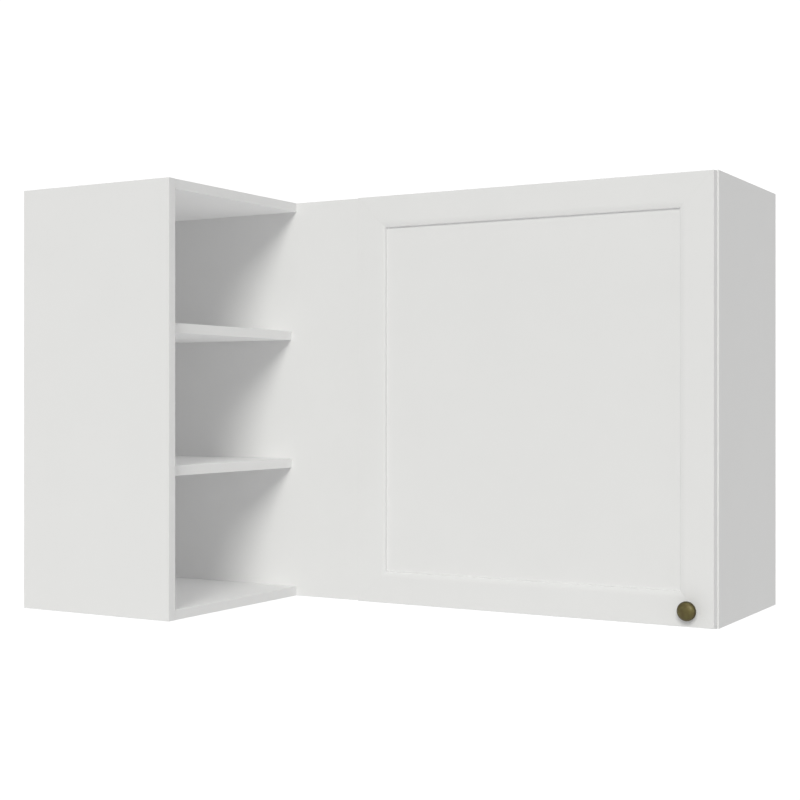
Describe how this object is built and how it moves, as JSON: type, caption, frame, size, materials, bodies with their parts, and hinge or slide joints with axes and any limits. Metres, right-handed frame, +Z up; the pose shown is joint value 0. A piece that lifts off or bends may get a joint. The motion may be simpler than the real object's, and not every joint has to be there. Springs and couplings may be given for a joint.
{
  "type": "corner wall cabinet",
  "caption": "L-shaped wall cabinet for a room corner: a closed box with a framed door and a plain blind panel, and an open shelf unit standing forward along the side wall.",
  "frame": {"origin": "centre of the main back face, where the cabinet lies against the back wall", "axes": "+X to the right seen from the front, +Y into the back wall (the door faces -Y), +Z up"},
  "size_m": [1.082, 0.669, 0.7],
  "materials": {
    "white_board": "white melamine faced particle board, satin",
    "white_lacquer": "white satin lacquer on fibreboard",
    "white_sheet": "thin hardboard, painted white inside",
    "old_brass": "antique brass, dark patina with brighter edges",
    "nickel_steel": "nickel plated steel",
    "zinc_screw": "zinc plated steel",
    "beech_dowel": "plain beech",
    "clear_rubber": "clear soft bumper"
  },
  "bodies": {
    "carcass": {"right_side_panel": "white_board", "corner_side_panel": "white_board", "main_top_panel": "white_board", "main_bottom_panel": "white_board", "blind_panel": "white_board", "hinge_post": "white_board", "main_back_sheet": "white_sheet", "hanging_rail": "white_board", "main_shelf_lower": "white_board", "main_shelf_upper": "white_board", "shelf_pin_lower_left_front": "nickel_steel", "shelf_pin_lower_left_back": "nickel_steel", "shelf_pin_lower_right_front": "nickel_steel", "shelf_pin_lower_right_back": "nickel_steel", "shelf_pin_upper_left_front": "nickel_steel", "shelf_pin_upper_left_back": "nickel_steel", "shelf_pin_upper_right_front": "nickel_steel", "shelf_pin_upper_right_back": "nickel_steel", "niche_end_panel": "white_board", "niche_top_board": "white_board", "niche_bottom_board": "white_board", "niche_back_sheet": "white_sheet", "niche_shelf_lower": "white_board", "niche_shelf_upper": "white_board", "niche_screw_lower_front": "zinc_screw", "niche_screw_lower_back": "zinc_screw", "niche_screw_upper_front": "zinc_screw", "niche_screw_upper_back": "zinc_screw", "joining_dowel_top_front": "beech_dowel", "joining_dowel_top_back": "beech_dowel", "joining_dowel_bottom_front": "beech_dowel", "joining_dowel_bottom_back": "beech_dowel", "hinge_plate_lower": "nickel_steel", "hinge_arm_lower": "nickel_steel", "plate_screw_lower_a": "zinc_screw", "plate_screw_lower_b": "zinc_screw", "hinge_plate_upper": "nickel_steel", "hinge_arm_upper": "nickel_steel", "plate_screw_upper_a": "zinc_screw", "plate_screw_upper_b": "zinc_screw"},
    "door": {"door_stile_hinge_side": "white_lacquer", "door_stile_knob_side": "white_lacquer", "door_rail_top": "white_lacquer", "door_rail_bottom": "white_lacquer", "door_panel": "white_lacquer", "knob": "old_brass", "knob_screw": "zinc_screw", "door_bumper_top": "clear_rubber", "door_bumper_bottom": "clear_rubber", "hinge_cup_lower": "nickel_steel", "cup_screw_lower_a": "zinc_screw", "cup_screw_lower_b": "zinc_screw", "hinge_cup_upper": "nickel_steel", "cup_screw_upper_a": "zinc_screw", "cup_screw_upper_b": "zinc_screw"},
    "inner_links": {"hinge_inner_link_lower": "nickel_steel", "hinge_inner_link_upper": "nickel_steel"},
    "outer_links": {"hinge_outer_link_lower": "nickel_steel", "hinge_outer_link_upper": "nickel_steel"}
  },
  "joints": [
    {"name": "door_hinge", "type": "hinge", "parent": "carcass", "child": "door", "pos_m": [-0.089, -0.3195, 0], "axis": [0, 0, -1], "range_deg": [0, 105]},
    {"name": "inner_link_turn", "type": "hinge", "parent": "carcass", "child": "inner_links", "pos_m": [-0.089, -0.3195, 0], "axis": [0, 0, -1], "range_deg": [0, 42]},
    {"name": "outer_link_turn", "type": "hinge", "parent": "carcass", "child": "outer_links", "pos_m": [-0.089, -0.3195, 0], "axis": [0, 0, -1], "range_deg": [0, 84]}
  ],
  "couplings": [
    {"joint": "inner_link_turn", "follows": "door_hinge", "ratio": 0.4},
    {"joint": "outer_link_turn", "follows": "door_hinge", "ratio": 0.8}
  ]
}
